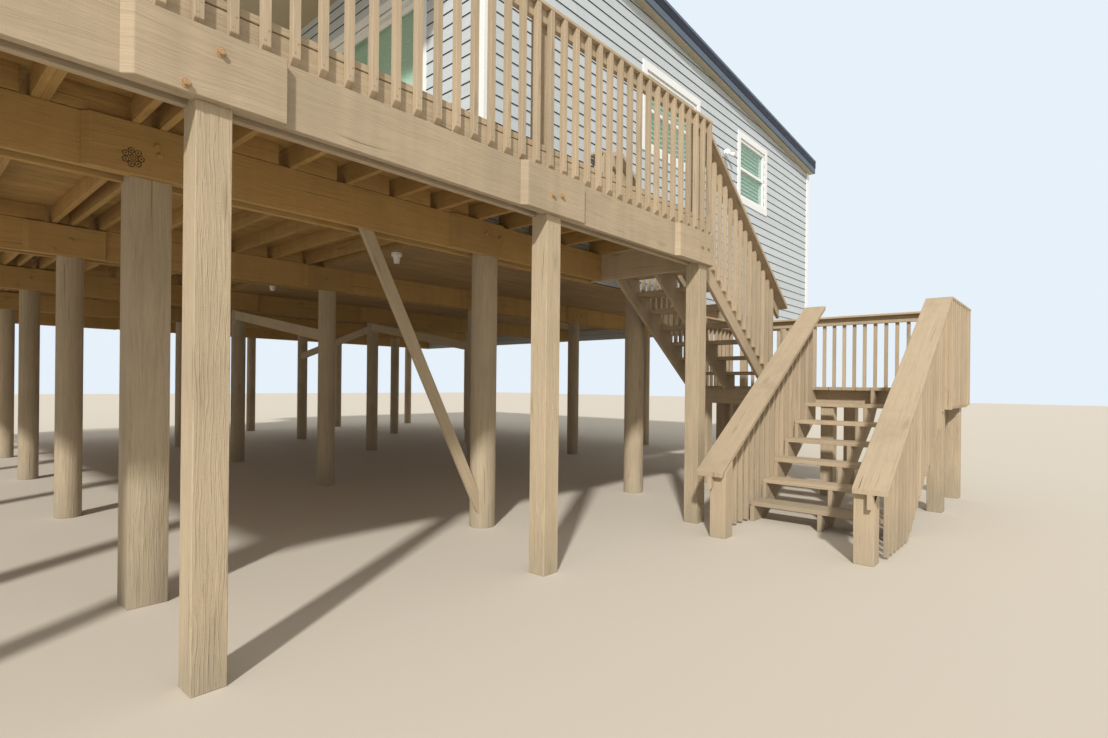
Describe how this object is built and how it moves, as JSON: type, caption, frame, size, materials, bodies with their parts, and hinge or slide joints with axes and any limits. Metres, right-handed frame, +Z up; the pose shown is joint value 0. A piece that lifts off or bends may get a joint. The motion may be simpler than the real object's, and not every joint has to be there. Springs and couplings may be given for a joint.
{
  "type": "raised beach house",
  "caption": "One-storey timber house on round piles, with a wrap-around deck, guards of square balusters and a stair that turns on a landing.",
  "frame": {"origin": "centre of the object's box on the ground plane", "axes": "+X along the deck front, towards the stair end; +Y from the deck front into the house; +Z up"},
  "size_m": [13.47, 15.359, 6.432],
  "materials": {
    "painted_timber": "taupe paint on rough-sawn timber, with knots, checks and rust runs",
    "plywood": "painted plywood, stained by damp",
    "blue_siding": "lapped boards, matte light greenish-grey paint",
    "white_trim": "matte white paint",
    "white_vinyl": "smooth white",
    "window_glass": "clear float glass with a green cast",
    "blind_slats": "white slats",
    "roof_sheet": "dark blue-black sheet, satin",
    "fascia": "blue-grey paint, satin"
  },
  "bodies": {
    "root": {"deck_posts": "painted_timber", "front_piles": "painted_timber", "back_piles": "painted_timber", "front_beam": "painted_timber", "inner_beams": "painted_timber", "rim_beam": "painted_timber", "splice_boards": "painted_timber", "deck_end_beam": "painted_timber", "knee_braces": "painted_timber", "deck_joists": "painted_timber", "deck_floor": "painted_timber", "house_floor": "painted_timber", "underfloor_panels": "plywood", "front_wall": "blue_siding", "back_wall": "blue_siding", "left_wall": "blue_siding", "right_wall": "blue_siding", "corner_boards": "white_trim", "window_casings": "white_trim", "window_sashes": "white_vinyl", "window_panes": "window_glass", "window_blinds": "blind_slats", "door_frame": "white_vinyl", "door_panels": "white_vinyl", "door_panes": "window_glass", "door_blinds": "blind_slats", "roof": "roof_sheet", "roof_edge": "fascia", "porch_ceiling": "plywood", "front_guard": "painted_timber", "left_guard": "painted_timber", "back_guard": "painted_timber", "end_guard": "painted_timber", "upper_stringers": "painted_timber", "upper_treads": "painted_timber", "upper_front_guard": "painted_timber", "upper_back_guard": "painted_timber", "landing_posts": "painted_timber", "landing_frame": "painted_timber", "landing_floor": "painted_timber", "landing_guard": "painted_timber", "lower_stringers": "painted_timber", "lower_treads": "painted_timber", "lower_front_guard": "painted_timber", "lower_back_guard": "painted_timber", "underfloor_lamps": "white_vinyl"}
  },
  "joints": []
}
